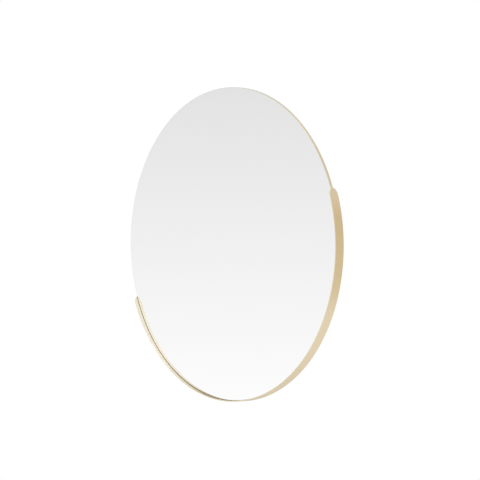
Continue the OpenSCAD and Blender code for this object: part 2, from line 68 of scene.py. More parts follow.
def depths(node):
    """Distances of a node's back and front from the wall, in millimetres."""
    low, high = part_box(node)
    return -high.y / MM, -low.y / MM


GLASS_BACK, FACE_Z = depths("mirror_glass")
RIM_BACK = depths("rim_ring")[0]
DISC_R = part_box("rim_ring")[1].x / MM
HOOP_BACK, HOOP_FRONT = depths("half_hoop")
HOOP_W = HOOP_FRONT - HOOP_BACK
print(f"mirror face {FACE_Z:.2f} mm off the wall, disc radius {DISC_R:.2f} mm, hoop {HOOP_W:.1f} mm wide")

# %% [markdown]
# ## The camera
# The photograph looks at the disc from its right, almost level. A camera six metres away with a long
# lens gives the ellipse its measured shape. The disc's centre lies a little left of and below the
# middle of the picture, so the camera aims a few millimetres beside it, which needs no lens shift.

# %% Camera
CAMERA_AZIMUTH = math.radians(48.615)
CAMERA_ELEVATION = math.radians(1.057)
CAMERA_DISTANCE = 6.0
CAMERA_LENS, CAMERA_SENSOR = 234.72, 36
CAMERA_NEAR, CAMERA_FAR = 0.1, 60
AIM_RIGHT, AIM_UP = 0.0181, 0.00748


def put_in_scene(name, data):
    """A new object at the origin that shows the data."""
    thing = bpy.data.objects.new(name, data)
    bpy.context.scene.collection.objects.link(thing)
    return thing


def add_camera():
    """Puts the camera at the photograph's place and aims it beside the disc's centre."""
    level = math.cos(CAMERA_ELEVATION)
    across, away = math.sin(CAMERA_AZIMUTH), -math.cos(CAMERA_AZIMUTH)
    back = Vector((across * level, away * level, math.sin(CAMERA_ELEVATION)))
    right = Vector((-away, across, 0))
    up = back.cross(right)
    disc_centre = Vector((0, -FACE_Z * MM, 0))
    place = disc_centre + back * CAMERA_DISTANCE
    aim = disc_centre + right * AIM_RIGHT + up * AIM_UP
    lens = bpy.data.cameras.new("photo_lens")
    lens.lens = CAMERA_LENS
    lens.sensor_width = CAMERA_SENSOR
    lens.clip_start, lens.clip_end = CAMERA_NEAR, CAMERA_FAR
    camera = put_in_scene("photo_camera", lens)
    camera.location = place
    camera.rotation_euler = (place - aim).to_track_quat("Z", "Y").to_euler()
    bpy.context.scene.camera = camera
    return camera


camera = add_camera()
print("camera at", [round(c, 3) for c in camera.location])

# %% [markdown]
# ## Building shader trees in code
# A shader tree is a set of nodes and the links between them. One helper makes a node and fills its
# inputs: a number or a colour is typed into the socket, and an output of another node is linked to
# it. Two more open an empty material, or a node group with named sockets, so that an effect can be
# built once and used in many finishes.

# %% Shader helpers


def add_node(tree, kind, inputs=None, **settings):
    """Adds a node; inputs holds plain values, or output sockets to link."""
    node = tree.nodes.new(kind)
    for key, value in settings.items():
        setattr(node, key, value)
    for key, value in (inputs or {}).items():
        if isinstance(value, bpy.types.NodeSocket):
            tree.links.new(value, node.inputs[key])
        else:
            node.inputs[key].default_value = value
    return node


def open_material(name):
    """A new material and its empty shader tree."""
    material = bpy.data.materials.new(name)
    material.use_nodes = True
    material.node_tree.nodes.clear()
    return material, material.node_tree


def open_group(name, takes, gives):
    """A new shader group with its input and output nodes."""
    tree = bpy.data.node_groups.new(name, "ShaderNodeTree")
    for label, kind, value in takes:
        socket = tree.interface.new_socket(name=label, in_out="INPUT", socket_type="NodeSocket" + kind)
        if value is not None:
            socket.default_value = value
    for label, kind in gives:
        tree.interface.new_socket(name=label, in_out="OUTPUT", socket_type="NodeSocket" + kind)
    return tree, add_node(tree, "NodeGroupInput").outputs, add_node(tree, "NodeGroupOutput").inputs


# %% [markdown]
# Most steps in these trees are small sums, so each kind of sum gets a short name: arithmetic, the
# parts of a vector, a new range, a soft step, a noise and a mix of two colours.

# %% Shader sums


def object_place(tree):
    """Object coordinates, which stay on the piece when it moves."""
    return add_node(tree, "ShaderNodeTexCoord").outputs["Object"]


def maths(tree, operation, a, b=0.0):
    """One step of arithmetic on numbers or sockets."""
    return add_node(tree, "ShaderNodeMath", {0: a, 1: b}, operation=operation).outputs[0]


def split(tree, vector):
    """The X, Y and Z of a vector."""
    return add_node(tree, "ShaderNodeSeparateXYZ", {0: vector}).outputs


def length(tree, vector):
    """The length of a vector."""
    return add_node(tree, "ShaderNodeVectorMath", {0: vector}, operation="LENGTH").outputs["Value"]


def spread(tree, value, low, high):
    """Maps a value from 0..1 to low..high."""
    return add_node(tree, "ShaderNodeMapRange", {"Value": value, "To Min": low, "To Max": high}).outputs[0]


def share_of(tree, value, start, end, interpolation="LINEAR"):
    """0 where the value is start, 1 where it is end."""
    return add_node(
        tree, "ShaderNodeMapRange", {"Value": value, "From Min": start, "From Max": end},
        interpolation_type=interpolation,
    ).outputs[0]


def fade(tree, value, start, end):
    """A soft step from 0 at start to 1 at end."""
    return share_of(tree, value, start, end, "SMOOTHSTEP")


def noise(tree, place, scale, detail, roughness=0.5):
    """A noise between 0 and 1."""
    inputs = {"Vector": place, "Scale": scale, "Detail": detail, "Roughness": roughness}
    return add_node(tree, "ShaderNodeTexNoise", inputs).outputs["Fac"]


def blend(tree, share, first, second):
    """A colour between two colours."""
    return add_node(tree, "ShaderNodeMix", {0: share, 6: first, 7: second}, data_type="RGBA").outputs[2]


# %% [markdown]
# ## Shared effect 1: lines left by a brush or a lathe tool
# The hoop, the rim, the sleeve and the rosette are all finished while they turn about the mirror's
# own axis, so the fine lines run round that axis. The group takes Object coordinates, turns them
# into a direction round the axis and a radius, and feeds a 4D noise that changes fast across the
# lines and slowly along them. A noise stretched on a UV map would do for a flat strip, but it would
# show a seam where the map closes, and this one has none.

# %% Group: turned lines
LINES_PER_METRE = 2200.0
LINES_ALONG = 2.5
LINE_DETAIL, LINE_ROUGHNESS = 3.0, 0.65
LINE_TONE = (-0.35, 1.35)


def turned_lines_group():
    """Fine lines round the mirror's axis, as a height and a tone."""
    tree, given, result = open_group(
        "turned_lines",
        [
            ("Vector", "Vector", None),
            ("Lines per metre", "Float", LINES_PER_METRE),
            ("Along", "Float", LINES_ALONG),
        ],
        [("Height", "Float"), ("Tone", "Float")],
    )
    parts = split(tree, given["Vector"])
    flat = add_node(tree, "ShaderNodeCombineXYZ", {"X": parts["X"], "Z": parts["Z"]}).outputs[0]
    heading = add_node(tree, "ShaderNodeVectorMath", {0: flat}, operation="NORMALIZE").outputs[0]
    heading = split(tree, heading)
    place = add_node(
        tree,
        "ShaderNodeCombineXYZ",
        {
            "X": maths(tree, "MULTIPLY", heading["X"], given["Along"]),
            "Y": maths(tree, "MULTIPLY", parts["Y"], given["Lines per metre"]),
            "Z": maths(tree, "MULTIPLY", heading["Z"], given["Along"]),
        },
    ).outputs[0]
    lines = add_node(
        tree,
        "ShaderNodeTexNoise",
        {
            "Vector": place,
            "W": maths(tree, "MULTIPLY", length(tree, flat), given["Lines per metre"]),
            "Scale": 1.0,
            "Detail": LINE_DETAIL,
            "Roughness": LINE_ROUGHNESS,
        },
        noise_dimensions="4D",
    ).outputs["Fac"]
    tree.links.new(lines, result["Height"])
    tree.links.new(spread(tree, lines, *LINE_TONE), result["Tone"])
    return tree


TURNED_LINES = turned_lines_group()
print("group:", TURNED_LINES.name, "with", len(TURNED_LINES.nodes), "nodes")

# %% [markdown]
# ## Shared effect 2: grain
# Cast metal, powder coat, rubber, foam and fibre all have a skin of small bumps. Two noises do it: a
# fine one at the size of the grain and a broad one that makes the tone drift over the part, as no
# real surface is one flat colour.

# %% Group: grain
FINE_DETAIL, FINE_ROUGHNESS = 2.0, 0.55
BROAD_DETAIL, BROAD_ROUGHNESS = 3.0, 0.6
BROAD_SHARE, FINE_SHARE = 0.7, 0.3
GRAIN_TONE = (-0.6, 1.6)


def grain_group():
    """Small bumps of a given size, and a slow drift of tone."""
    tree, given, result = open_group(
        "fine_grain",
        [("Vector", "Vector", None), ("Grain size", "Float", 0.001), ("Drift size", "Float", 0.05)],
        [("Height", "Float"), ("Tone", "Float")],
    )
    fine_scale = maths(tree, "DIVIDE", 1.0, given["Grain size"])
    broad_scale = maths(tree, "DIVIDE", 1.0, given["Drift size"])
    fine = noise(tree, given["Vector"], fine_scale, FINE_DETAIL, FINE_ROUGHNESS)
    broad = noise(tree, given["Vector"], broad_scale, BROAD_DETAIL, BROAD_ROUGHNESS)
    tree.links.new(fine, result["Height"])
    tone = maths(
        tree, "ADD", maths(tree, "MULTIPLY", broad, BROAD_SHARE), maths(tree, "MULTIPLY", fine, FINE_SHARE)
    )
    tree.links.new(spread(tree, tone, *GRAIN_TONE), result["Tone"])
    return tree


FINE_GRAIN = grain_group()
print("group:", FINE_GRAIN.name, "with", len(FINE_GRAIN.nodes), "nodes")

# %% [markdown]
# ## Shared effect 3: worn edges
# Handling polishes the edges of a coated or brushed part. Each bevel in this file writes an
# attribute named `edge` on its own faces, and the group breaks that band up with noise.

# %% Group: worn edge
PATCH_DETAIL = 3.0
PATCH_START, PATCH_FULL = 0.35, 0.65


def worn_edge_group():
    """A broken mask on the bevelled edges."""
    tree, given, result = open_group(
        "worn_edge",
        [("Vector", "Vector", None), ("Amount", "Float", 0.5), ("Patch size", "Float", 0.01)],
        [("Mask", "Float")],
    )
    edge = add_node(tree, "ShaderNodeAttribute", attribute_name="edge").outputs["Fac"]
    patch_scale = maths(tree, "DIVIDE", 1.0, given["Patch size"])
    patches = noise(tree, given["Vector"], patch_scale, PATCH_DETAIL)
    broken = share_of(tree, patches, PATCH_START, PATCH_FULL)
    mask = maths(tree, "MULTIPLY", edge, broken)
    tree.links.new(maths(tree, "MULTIPLY", mask, given["Amount"]), result["Mask"])
    return tree


WORN_EDGE = worn_edge_group()
print("group:", WORN_EDGE.name, "with", len(WORN_EDGE.nodes), "nodes")

# %% [markdown]
# ## Shared effect 4: settled dust
# Dust lies only on what faces up, so the last group reads the normal's z and lays a very thin grey
# film there. A film changes both the colour and the roughness below it.

# %% Group: settled dust
DUST_FROM, DUST_FULL = 0.5, 1.0
DUST_SCALE, DUST_DETAIL, DUST_BREAKUP = 220.0, 4.0, 0.7
DUST_COLOUR = (0.52, 0.5, 0.47, 1)
DUST_ROUGHNESS = 0.9


def dust_group():
    """A thin film on what faces up, as a changed colour and roughness."""
    tree, given, result = open_group(
        "settled_dust",
        [
            ("Vector", "Vector", None),
            ("Color", "Color", (0.5, 0.5, 0.5, 1)),
            ("Roughness", "Float", 0.5),
            ("Amount", "Float", 0.2),
        ],
        [("Color", "Color"), ("Roughness", "Float")],
    )
    upward = split(tree, add_node(tree, "ShaderNodeNewGeometry").outputs["Normal"])["Z"]
    flat_top = share_of(tree, upward, DUST_FROM, DUST_FULL)
    motes = noise(tree, given["Vector"], DUST_SCALE, DUST_DETAIL, DUST_BREAKUP)
    film = maths(tree, "MULTIPLY", maths(tree, "MULTIPLY", flat_top, motes), given["Amount"])
    rough = add_node(
        tree, "ShaderNodeMix", {0: film, 2: given["Roughness"], 3: DUST_ROUGHNESS}, data_type="FLOAT"
    ).outputs[0]
    tree.links.new(blend(tree, film, given["Color"], DUST_COLOUR), result["Color"])
    tree.links.new(rough, result["Roughness"])
    return tree


DUST = dust_group()
print("group:", DUST.name, "with", len(DUST.nodes), "nodes")

# %% [markdown]
# ## One recipe for every finish
# Each finish is the same short chain: a surface group gives a height and a tone; the tone mixes two
# colours and two roughnesses; the worn edges show a third colour; dust goes over all; and the height
# feeds a Bump node. A number that is the same all over, such as Metallic, is typed into the
# Principled shader's own socket.

# %% The recipe


def finish(name, surface, colours, roughness, bump, metallic=0.0, edge=None, dust=0.1):
    """A material from a surface (group, its inputs), two colours, two roughnesses and a bump."""
    material, tree = open_material(name)
    place = object_place(tree)
    group, group_inputs = surface
    skin = add_node(tree, "ShaderNodeGroup", node_tree=group)
    tree.links.new(place, skin.inputs["Vector"])
    for key, value in group_inputs.items():
        skin.inputs[key].default_value = value
    tone = skin.outputs["Tone"]
    colour = blend(tree, tone, (*colours[0], 1), (*colours[1], 1))
    rough = spread(tree, tone, *roughness)
    if edge:
        edge_colour, amount = edge
        worn = add_node(tree, "ShaderNodeGroup", node_tree=WORN_EDGE)
        worn.inputs["Amount"].default_value = amount
        tree.links.new(place, worn.inputs["Vector"])
        colour = blend(tree, worn.outputs["Mask"], colour, (*edge_colour, 1))
    film = add_node(tree, "ShaderNodeGroup", node_tree=DUST)
    film.inputs["Amount"].default_value = dust
    for key, value in (("Vector", place), ("Color", colour), ("Roughness", rough)):
        tree.links.new(value, film.inputs[key])
    distance, strength = bump
    relief = add_node(
        tree,
        "ShaderNodeBump",
        {"Height": skin.outputs["Height"], "Distance": distance, "Strength": strength},
    )
    shader = add_node(
        tree,
        "ShaderNodeBsdfPrincipled",
        {
            "Base Color": film.outputs["Color"],
            "Roughness": film.outputs["Roughness"],
            "Normal": relief.outputs[0],
            "Metallic": metallic,
        },
    )
    add_node(tree, "ShaderNodeOutputMaterial", {"Surface": shader.outputs[0]})
    return material


def turned():
    """The turned-lines surface with its values."""
    return TURNED_LINES, {"Lines per metre": LINES_PER_METRE, "Along": LINES_ALONG}


def grain(size, drift):
    """The grain surface with its values."""
    return FINE_GRAIN, {"Grain size": size, "Drift size": drift}


# %% [markdown]
# ## The metals
# The metal of the hoop is a pale satin brass: a metallic shader whose colour is the colour of its
# reflections. The rim, the sleeve and the rosette share it. Nuts, screws and pins are zinc plated,
# and castings are duller. The back plate and the bar, which the disc hides, are powder coated nearly
# black.

# %% Metal finishes
BRASS = finish(
    "satin_brass", turned(), colours=((0.765, 0.652, 0.462), (0.805, 0.698, 0.515)),
    roughness=(0.24, 0.32), bump=(0.00005, 0.08), metallic=1.0, edge=((0.88, 0.80, 0.64), 0.6), dust=0.03,
)
POWDER_COAT = finish(
    "black_powder_coat", grain(0.0009, 0.08), colours=((0.018, 0.019, 0.021), (0.032, 0.033, 0.036)),
    roughness=(0.42, 0.56), bump=(0.00025, 0.35), edge=((0.09, 0.09, 0.095), 0.45), dust=0.35,
)
ZINC_PLATE = finish(
    "zinc_plated_steel", grain(0.0012, 0.012), colours=((0.52, 0.54, 0.57), (0.68, 0.68, 0.66)),
    roughness=(0.26, 0.42), bump=(0.00008, 0.25), metallic=1.0, edge=((0.8, 0.8, 0.8), 0.6), dust=0.12,
)
CAST_ZINC = finish(
    "cast_zinc", grain(0.0007, 0.01), colours=((0.36, 0.37, 0.38), (0.48, 0.48, 0.48)),
    roughness=(0.45, 0.62), bump=(0.00025, 0.5), metallic=1.0, edge=((0.66, 0.66, 0.66), 0.6), dust=0.15,
)
print("finishes:", [m.name for m in bpy.data.materials])

# %% [markdown]
# ## Foam, nylon, fibre and rubber
# None of these is metal, so the size of the grain and the roughness tell them apart: foam has deep
# pores and is quite matt, moulded nylon is smooth and waxy, pressed fibre is speckled brown, and
# rubber is nearly black and takes dust.

# %% Soft finishes
FOAM = finish(
    "white_foam", grain(0.0006, 0.02), colours=((0.70, 0.69, 0.65), (0.80, 0.79, 0.75)),
    roughness=(0.85, 0.95), bump=(0.0005, 0.6),
)
NYLON = finish(
    "white_nylon", grain(0.0008, 0.01), colours=((0.74, 0.72, 0.65), (0.80, 0.78, 0.72)),
    roughness=(0.36, 0.48), bump=(0.00006, 0.3),
)
FIBRE = finish(
    "brown_fibre", grain(0.0005, 0.004), colours=((0.12, 0.055, 0.035), (0.22, 0.11, 0.07)),
    roughness=(0.6, 0.8), bump=(0.0002, 0.5),
)
RUBBER = finish(
    "black_rubber", grain(0.0005, 0.02), colours=((0.012, 0.012, 0.012), (0.025, 0.025, 0.025)),
    roughness=(0.6, 0.78), bump=(0.0002, 0.4), dust=0.3,
)
print("finishes:", [m.name for m in bpy.data.materials])

# %% [markdown]
# ## Mirror glass
# A mirror is float glass with silver behind it. What the eye sees is the silver, so the face is a
# metal with almost no roughness, and a faint drift keeps it from being mathematically flat. The
# ground edge is greenish glass, and the back has the grey paint that seals the silver.

# %% Mirror finishes
SILVER = finish(
    "mirror_silver", grain(0.05, 0.3), colours=((0.936, 0.936, 0.935), (0.944, 0.944, 0.944)),
    roughness=(0.004, 0.012), bump=(0.00002, 0.02), metallic=1.0, dust=0.0,
)
GLASS_EDGE = finish(
    "ground_glass_edge", grain(0.0004, 0.02), colours=((0.30, 0.42, 0.38), (0.42, 0.53, 0.49)),
    roughness=(0.3, 0.45), bump=(0.0001, 0.3), dust=0.0,
)
BACKING_PAINT = finish(
    "mirror_backing_paint", grain(0.002, 0.05), colours=((0.20, 0.22, 0.22), (0.26, 0.28, 0.28)),
    roughness=(0.5, 0.6), bump=(0.0001, 0.3),
)
print("mirror finishes:", SILVER.name, GLASS_EDGE.name, BACKING_PAINT.name)

# %% [markdown]
# ## Drawing and turning
# Two ways of making cover most of the object. A *section* is a face drawn upright beside the axis,
# whose corners are rounded by a vertex bevel before it is spun like work on a lathe. A *blank* is a
# face drawn flat and then given its thickness.

# %% Drawing helpers
ROUND_STEPS = 6
FULL_TURN = math.tau
QUARTER_TURN = FULL_TURN / 4
JOIN = 1e-4


def drawn_face(points, rounding, upright):
    """A bmesh with one face; rounding gives the distance cut back at a corner, by index."""
    bm = bmesh.new()
    corners = [bm.verts.new((a, 0, b) if upright else (a, b, 0)) for a, b in points]
    bm.faces.new(corners)
    for index, cut_back in rounding.items():
        bmesh.ops.bevel(
            bm, geom=[corners[index]], offset=cut_back, offset_type="OFFSET", segments=ROUND_STEPS,
            profile=0.5, affect="VERTICES", material=-1, clamp_overlap=False,
        )
    bmesh.ops.remove_doubles(bm, verts=bm.verts, dist=JOIN)
    return bm


def section(points, rounding=None):
    """A section in radius and height beside the axis."""
    return drawn_face(points, rounding or {}, upright=True)


def blank(points):
    """A flat outline in x and y."""
    return drawn_face(points, {}, upright=False)


def spin_section(bm, steps):
    """Turns the section about the z axis into a closed ring or disc."""
    bmesh.ops.delete(bm, geom=list(bm.faces), context="FACES_ONLY")
    on_axis = [e for e in bm.edges if all(abs(v.co.x) < JOIN for v in e.verts)]
    bmesh.ops.delete(bm, geom=on_axis, context="EDGES")
    bmesh.ops.spin(
        bm, geom=list(bm.verts) + list(bm.edges), cent=(0, 0, 0), axis=(0, 0, 1), dvec=(0, 0, 0),
        angle=FULL_TURN, steps=steps, use_merge=True, use_duplicate=False,
    )
    bmesh.ops.remove_doubles(bm, verts=bm.verts, dist=JOIN)
    bmesh.ops.recalc_face_normals(bm, faces=bm.faces)
    return bm


def thicken(bm, height):
    """Extrudes the flat faces along z."""
    grown = bmesh.ops.extrude_face_region(bm, geom=list(bm.faces))["geom"]
    raised = [g for g in grown if isinstance(g, bmesh.types.BMVert)]
    bmesh.ops.translate(bm, vec=(0, 0, height), verts=raised)
    bmesh.ops.recalc_face_normals(bm, faces=bm.faces)
    return bm


print("a full turn is", round(FULL_TURN, 4), "radians, and corners are rounded in", ROUND_STEPS, "steps")

# %% [markdown]
# ## Easing the edges and finishing a piece
# No real edge is perfectly sharp. *Easing* takes the sharpness off by a bevel and marks the new
# faces for the wear. A finished drawing is then laid on its board and becomes a piece that rides on
# a body. Weighted normals keep its flat faces flat beside the bevels.

# %% Finishing helpers
CREASE = 50


def ease_edges(bm, width, steps, sharper_than):
    """Bevels the sharp edges and marks the new faces with the attribute edge."""
    mark = bm.loops.layers.float.get("edge") or bm.loops.layers.float.new("edge")
    limit = math.radians(sharper_than)
    sharp = [e for e in bm.edges if len(e.link_faces) == 2 and e.calc_face_angle(0) > limit]
    made = bmesh.ops.bevel(
        bm, geom=sharp, offset=width, offset_type="OFFSET", segments=steps, profile=0.5,
        affect="EDGES", material=-1, clamp_overlap=True,
    )
    for face in made["faces"]:
        for loop in face.loops:
            loop[mark] = 1.0
    return bm


def mesh_from(bm, name):
    """Turns a bmesh into a mesh and lets go of it."""
    mesh = bpy.data.meshes.new(name)
    bm.to_mesh(mesh)
    bm.free()
    return mesh


def make_piece(bm, name, board, body, materials, crease=CREASE):
    """Lays a finished bmesh on its board, turns it into a piece and lets it ride."""
    bmesh.ops.transform(bm, matrix=board, verts=bm.verts)
    bmesh.ops.recalc_face_normals(bm, faces=bm.faces)
    mesh = mesh_from(bm, name)
    piece = put_in_scene(name, mesh)
    for material in materials:
        mesh.materials.append(material)
    mesh.shade_smooth()
    mesh.set_sharp_from_angle(angle=math.radians(crease))
    evener = piece.modifiers.new("even_normals", "WEIGHTED_NORMAL")
    evener.keep_sharp = True
    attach(piece, body)
    print(f"{name}: {len(mesh.polygons)} faces")
    return piece


print("creases over", CREASE, "degrees stay sharp")

# %% [markdown]
# ## The half hoop
# The real hoop starts as a flat strip whose ends are cut to a round nose that runs into both edges
# in long arcs. The radius of these arcs isn't chosen: only one radius touches the edge and the nose
# without a corner, and it follows from the nose, the strip's width and the length of the end.

# %% Strip outline
NOSE_R, NOSE_STEPS = 8.0, 20
ARC_START, ARC_STEPS = 15.0, 12


def arc_points(centre, radius, start, end, steps):
    """Points on an arc, angles in radians."""
    angles = [start + (end - start) * i / steps for i in range(steps + 1)]
    return [(centre[0] + radius * math.cos(a), centre[1] + radius * math.sin(a)) for a in angles]


def nose_outline():
    """The strip's end at x = 0: a long arc from the back edge, the nose, a long arc to the front."""
    mid = HOOP_W / 2
    long_r = ((ARC_START - NOSE_R) ** 2 + mid**2 - NOSE_R**2) / (2 * (mid - NOSE_R))
    meet = math.atan2(long_r - mid, NOSE_R - ARC_START)
    back_arc = arc_points((ARC_START, long_r), long_r, -QUARTER_TURN, -meet, ARC_STEPS)
    nose = arc_points((NOSE_R, mid), NOSE_R, FULL_TURN - meet, meet, NOSE_STEPS)
    front_arc = arc_points((ARC_START, HOOP_W - long_r), long_r, meet, QUARTER_TURN, ARC_STEPS)
    return back_arc + nose[1:] + front_arc[1:]


print("one end of the strip has", len(nose_outline()), "points")

# %% [markdown]
# In the workshop the strip's edges are eased, it is brushed, and three rollers bend it to a half
# circle. The code does the same: thickness, eased edges, cuts across the strip so that it can bend,
# and last the roll, which moves each point to its angle. A curve with a flat profile would bend by
# itself, but its ends would be square.

# %% Half hoop
HOOP_T = 1.6
HOOP_OUT_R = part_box("half_hoop")[1].x / MM
HOOP_MID_R = HOOP_OUT_R - HOOP_T / 2
HOOP_EASE, HOOP_EASE_STEPS = 0.4, 3
HOOP_CUTS = 240
SHEET_EDGE_ANGLE = 60


def half_hoop():
    """Cuts the strip, eases it and rolls it to a half circle."""
    strip_length = math.pi * HOOP_MID_R
    end = nose_outline()
    bm = blank(end + [(strip_length - x, y) for x, y in reversed(end)])
    thicken(bm, HOOP_T)
    ease_edges(bm, HOOP_EASE, HOOP_EASE_STEPS, SHEET_EDGE_ANGLE)
    for i in range(1, HOOP_CUTS):
        bmesh.ops.bisect_plane(
            bm, geom=list(bm.verts) + list(bm.edges) + list(bm.faces), dist=JOIN,
            plane_co=(strip_length * i / HOOP_CUTS, 0, 0), plane_no=(1, 0, 0),
        )
    for v in bm.verts:
        angle = math.pi + v.co.x / HOOP_MID_R
        radius = HOOP_MID_R - HOOP_T / 2 + v.co.z
        v.co = Vector((radius * math.cos(angle), radius * math.sin(angle), HOOP_BACK + v.co.y))
    return make_piece(bm, "hoop_strip", ON_YOKE, "yoke", [BRASS])


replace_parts(half_hoop(), "half_hoop")

# %% [markdown]
# ## The rim
# A thin brass ring holds the glass. It is rolled from sheet with a flange behind and turned thin in
# front, so that the glass sits close to its edge. Its section is an L with a fine lip and a soft
# fold at the back. A section is the natural way: it is drawn once and spun right round.

# %% Rim
RIM_T = 0.6
LIP_T = 0.3
SEAT = 0.02
FLANGE_W = 13
FLANGE_IN_R = DISC_R - FLANGE_W
RIM_FOLD, RIM_INNER_FOLD, LIP_ROUND = 1.0, 0.3, 0.14
LARGE_STEPS = 360


def rim():
    """Spins the L section of the rim."""
    bm = section(
        [
            (FLANGE_IN_R, RIM_BACK),
            (DISC_R, RIM_BACK),
            (DISC_R, FACE_Z),
            (DISC_R - LIP_T, FACE_Z),
            (DISC_R - LIP_T, GLASS_BACK - SEAT),
            (DISC_R - RIM_T, GLASS_BACK - SEAT),
            (DISC_R - RIM_T, RIM_BACK + RIM_T),
            (FLANGE_IN_R, RIM_BACK + RIM_T),
        ],
        {1: RIM_FOLD, 2: LIP_ROUND, 3: LIP_ROUND, 6: RIM_INNER_FOLD},
    )
    spin_section(bm, LARGE_STEPS)
    return make_piece(bm, "disc_rim", ON_YOKE, "mirror", [BRASS])


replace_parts(rim(), "rim_ring")

# %% [markdown]
# ## The mirror pane
# The glass is cut as a disc and its edges are ground to a narrow arris. A capped circle, an extrusion
# and a bevel do that. It could be spun like the rim, but a spun disc meets in many thin triangles at
# its centre, and a mirror shows the least unevenness, so its face is left as one flat polygon. Faces
# get their material by where they point: silver in front, ground glass round the edge, paint behind.

# %% Mirror pane
GLASS_R = DISC_R - LIP_T - SEAT
GLASS_ARRIS, GLASS_ARRIS_STEPS = 0.1, 1
GLASS_CREASE = 20
FACING = 0.9


def mirror_pane():
    """A glass disc with ground edges."""
    bm = bmesh.new()
    bmesh.ops.create_circle(
        bm, cap_ends=True, segments=LARGE_STEPS, radius=GLASS_R, matrix=Matrix.Translation((0, 0, GLASS_BACK))
    )
    thicken(bm, FACE_Z - GLASS_BACK)
    ease_edges(bm, GLASS_ARRIS, GLASS_ARRIS_STEPS, SHEET_EDGE_ANGLE)
    for face in bm.faces:
        face.material_index = 0 if face.normal.z > FACING else 2 if face.normal.z < -FACING else 1
    materials = [SILVER, GLASS_EDGE, BACKING_PAINT]
    return make_piece(bm, "mirror_pane", ON_YOKE, "mirror", materials, GLASS_CREASE)


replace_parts(mirror_pane(), "mirror_glass")

# %% [markdown]
# ## The back plate
# A large sheet is limp, so two ring beads are pressed into it. They stand out at the back and are
# hollow in front. The section follows both faces of the sheet, and spinning it presses the whole
# plate at once, which a flat disc with a bevelled ring would do less evenly.

# %% Pressed sheet
PLATE_T = 0.8
PLATE_Z = RIM_BACK - PLATE_T
PLATE_INSET, INNER_BEAD_R, OUTER_BEAD_INSET = 4, 90.0, 65
PLATE_R = DISC_R - PLATE_INSET
BEAD_RADII = (INNER_BEAD_R, DISC_R - OUTER_BEAD_INSET)
BEAD_H = 1.6
BEAD_FOOT, BEAD_TOP = 2.9, 1.6
BEAD_ROUND = 0.6


def sheet_line(height):
    """One face of the pressed sheet, from the centre out, as points and the corners to round."""
    points, soft = [(0, height)], {}
    for r in BEAD_RADII:
        for offset, drop in ((-BEAD_FOOT, 0), (-BEAD_TOP, BEAD_H), (BEAD_TOP, BEAD_H), (BEAD_FOOT, 0)):
            soft[len(points)] = BEAD_ROUND
            points.append((r + offset, height - drop))
    points.append((PLATE_R, height))
    return points, soft


def pressed_sheet():
    """The plate without its studs."""
    back, soft = sheet_line(PLATE_Z)
    front, front_soft = sheet_line(PLATE_Z + PLATE_T)
    last = len(back) + len(front) - 1
    rounding = {**soft, **{last - i: r for i, r in front_soft.items()}}
    return spin_section(section(back + front[::-1], rounding), LARGE_STEPS)


print("beads at radius", [round(r, 1) for r in BEAD_RADII], "mm")

# %% [markdown]
# ## The weld studs
# The four studs that take the pivot blocks are welded to the plate, so they belong to its piece. The
# thread is drawn as a row of small ridges and spun, since a true helix would not show at this size.

# %% Weld studs
PIVOT_DROP = 14.0
BLOCK_X, STUD_REACH = 272.9, 14.5
STUD_R, STUD_PITCH = 2.0, 0.7
STUD_SINK, STUD_STANDS = 0.2, 6.2
STUD_ROOT, STUD_TIP = PLATE_Z + STUD_SINK, PLATE_Z - STUD_STANDS
STUD_STEPS = 24
THREAD_ROOT, TIP_SHARE, TIP_H = 0.86, 0.75, 0.3


def add_stud(bm, x, y):
    """Adds a stud along z with ridges for its thread and a chamfered tip."""
    root_r = STUD_R * THREAD_ROOT
    points = [(0, STUD_TIP), (STUD_R * TIP_SHARE, STUD_TIP)]
    for i in range(int((STUD_ROOT - STUD_TIP) / STUD_PITCH)):
        z = STUD_TIP + TIP_H + i * STUD_PITCH
        points += [(root_r, z), (STUD_R, z + STUD_PITCH / 2)]
    points += [(root_r, STUD_ROOT), (0, STUD_ROOT)]
    stud = spin_section(section(points), STUD_STEPS)
    bmesh.ops.translate(stud, vec=(x, y, 0), verts=stud.verts)
    loose = mesh_from(stud, "loose")
    bm.from_mesh(loose)
    bpy.data.meshes.remove(loose)


def back_plate():
    """The pressed plate with its beads and four weld studs."""
    bm = pressed_sheet()
    for x in (-BLOCK_X, BLOCK_X):
        for y in (-STUD_REACH, STUD_REACH):
            add_stud(bm, x, y - PIVOT_DROP)
    return make_piece(bm, "plate_pressing", ON_YOKE, "mirror", [POWDER_COAT])


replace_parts(back_plate(), "back_plate")

# %% [markdown]
# ## Hardware that the CAD already shapes well
# Nuts, screws, washers, blocks and brackets have true shapes in the frame, so they aren't drawn
# again. Each row gives the node, the new piece, its body, its slot and how far its edges are eased,
# from under a tenth of a millimetre on the small spring washers to half a millimetre on the bar.

